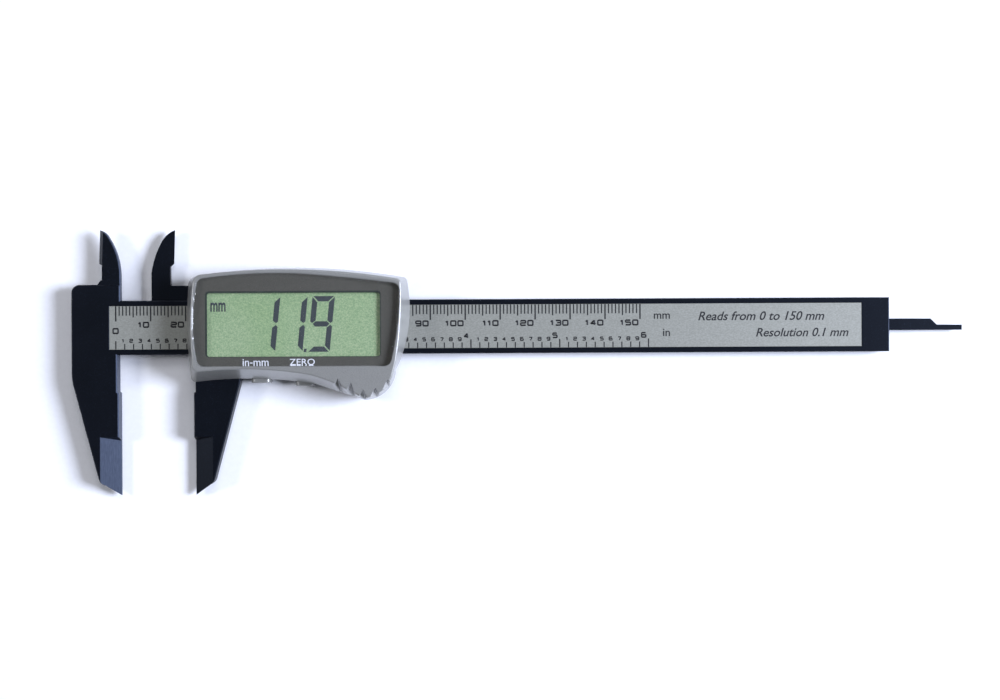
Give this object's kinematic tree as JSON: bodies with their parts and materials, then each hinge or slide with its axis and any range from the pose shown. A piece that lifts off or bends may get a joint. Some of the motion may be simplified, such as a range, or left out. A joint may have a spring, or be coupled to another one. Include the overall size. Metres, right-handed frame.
{
  "type": "digital caliper",
  "caption": "Black composite 150 mm digital caliper with wide LCD head, inside and outside jaws, and depth rod, opened a little.",
  "frame": {"origin": "bottom centre of the caliper's bounding box as stored, on the surface it lies on", "axes": "+X along the beam from the jaws to the depth rod's tip, +Y towards the inside jaws, +Z out of the display"},
  "size_m": [0.2556, 0.0762, 0.0138],
  "materials": {
    "beam": "moulded fibre-filled composite, fine grain",
    "scale_board": "glass-epoxy board",
    "scale_electrodes": "etched copper",
    "scale_label": "satin anodised, printed black",
    "end_stop": "moulded",
    "end_stop_screws": "blackened",
    "slider_frame": "moulded fibre-filled composite, fine grain",
    "rear_cover": "moulded, fine grain",
    "housing_screws": "plain",
    "depth_rod": "moulded fibre-filled composite",
    "depth_rod_screws": "plain",
    "gib_spring": "spring bronze",
    "battery_door": "moulded, ribbed finger grip",
    "cell_can": "nickel plated",
    "cell_cap": "nickel plated",
    "cell_seal": "moulded nylon",
    "positive_contact": "nickel plated",
    "negative_contact": "nickel plated",
    "main_board": "green solder mask",
    "sensor_electrodes": "etched copper",
    "controller_chip": "black epoxy dome",
    "capacitors": "ceramic",
    "resistors": "ceramic",
    "crystal": "bright can",
    "lcd_front_glass": "clear",
    "lcd_rear_glass": "clear",
    "lcd_reflector": "satin foil",
    "lcd_polarizer": "antiglare film",
    "upper_elastomer": "layered silicone",
    "lower_elastomer": "layered silicone",
    "lcd_frame": "moulded",
    "lcd_gasket": "black foam",
    "display_window": "clear polished acrylic",
    "window_mask": "printed dark grey",
    "window_adhesive": "film adhesive",
    "front_housing": "silver painted",
    "unit_button": "moulded",
    "unit_switch_case": "moulded",
    "unit_switch_plunger": "moulded",
    "zero_button": "moulded",
    "zero_switch_case": "moulded",
    "zero_switch_plunger": "moulded"
  },
  "bodies": {
    "beam": {"beam": "beam", "scale_board": "scale_board", "scale_electrodes": "scale_electrodes", "scale_label": "scale_label", "end_stop": "end_stop", "end_stop_screws": "end_stop_screws"},
    "slider": {"slider_frame": "slider_frame", "rear_cover": "rear_cover", "housing_screws": "housing_screws", "depth_rod": "depth_rod", "depth_rod_screws": "depth_rod_screws", "gib_spring": "gib_spring", "cell_can": "cell_can", "cell_cap": "cell_cap", "cell_seal": "cell_seal", "positive_contact": "positive_contact", "negative_contact": "negative_contact", "main_board": "main_board", "sensor_electrodes": "sensor_electrodes", "controller_chip": "controller_chip", "capacitors": "capacitors", "resistors": "resistors", "crystal": "crystal", "lcd_front_glass": "lcd_front_glass", "lcd_rear_glass": "lcd_rear_glass", "lcd_reflector": "lcd_reflector", "lcd_polarizer": "lcd_polarizer", "upper_elastomer": "upper_elastomer", "lower_elastomer": "lower_elastomer", "lcd_frame": "lcd_frame", "lcd_gasket": "lcd_gasket", "display_window": "display_window", "window_mask": "window_mask", "window_adhesive": "window_adhesive", "front_housing": "front_housing", "unit_switch_case": "unit_switch_case", "zero_switch_case": "zero_switch_case"},
    "unit_button": {"unit_button": "unit_button", "unit_switch_plunger": "unit_switch_plunger"},
    "zero_button": {"zero_button": "zero_button", "zero_switch_plunger": "zero_switch_plunger"},
    "battery_door": {"battery_door": "battery_door"}
  },
  "joints": [
    {"name": "slider_slide", "type": "slide", "parent": "beam", "child": "slider", "axis": [1, 0, 0], "range_m": [-0.0215, 0.1305]},
    {"name": "unit_button_press", "type": "slide", "parent": "slider", "child": "unit_button", "axis": [0, 1, 0], "range_m": [0, 0.0005], "stiffness_N_per_m": 3000},
    {"name": "zero_button_press", "type": "slide", "parent": "slider", "child": "zero_button", "axis": [0, 1, 0], "range_m": [0, 0.0005], "stiffness_N_per_m": 3000},
    {"name": "battery_door_slide", "type": "slide", "parent": "slider", "child": "battery_door", "axis": [0, -1, 0], "range_m": [0, 0.014]}
  ]
}
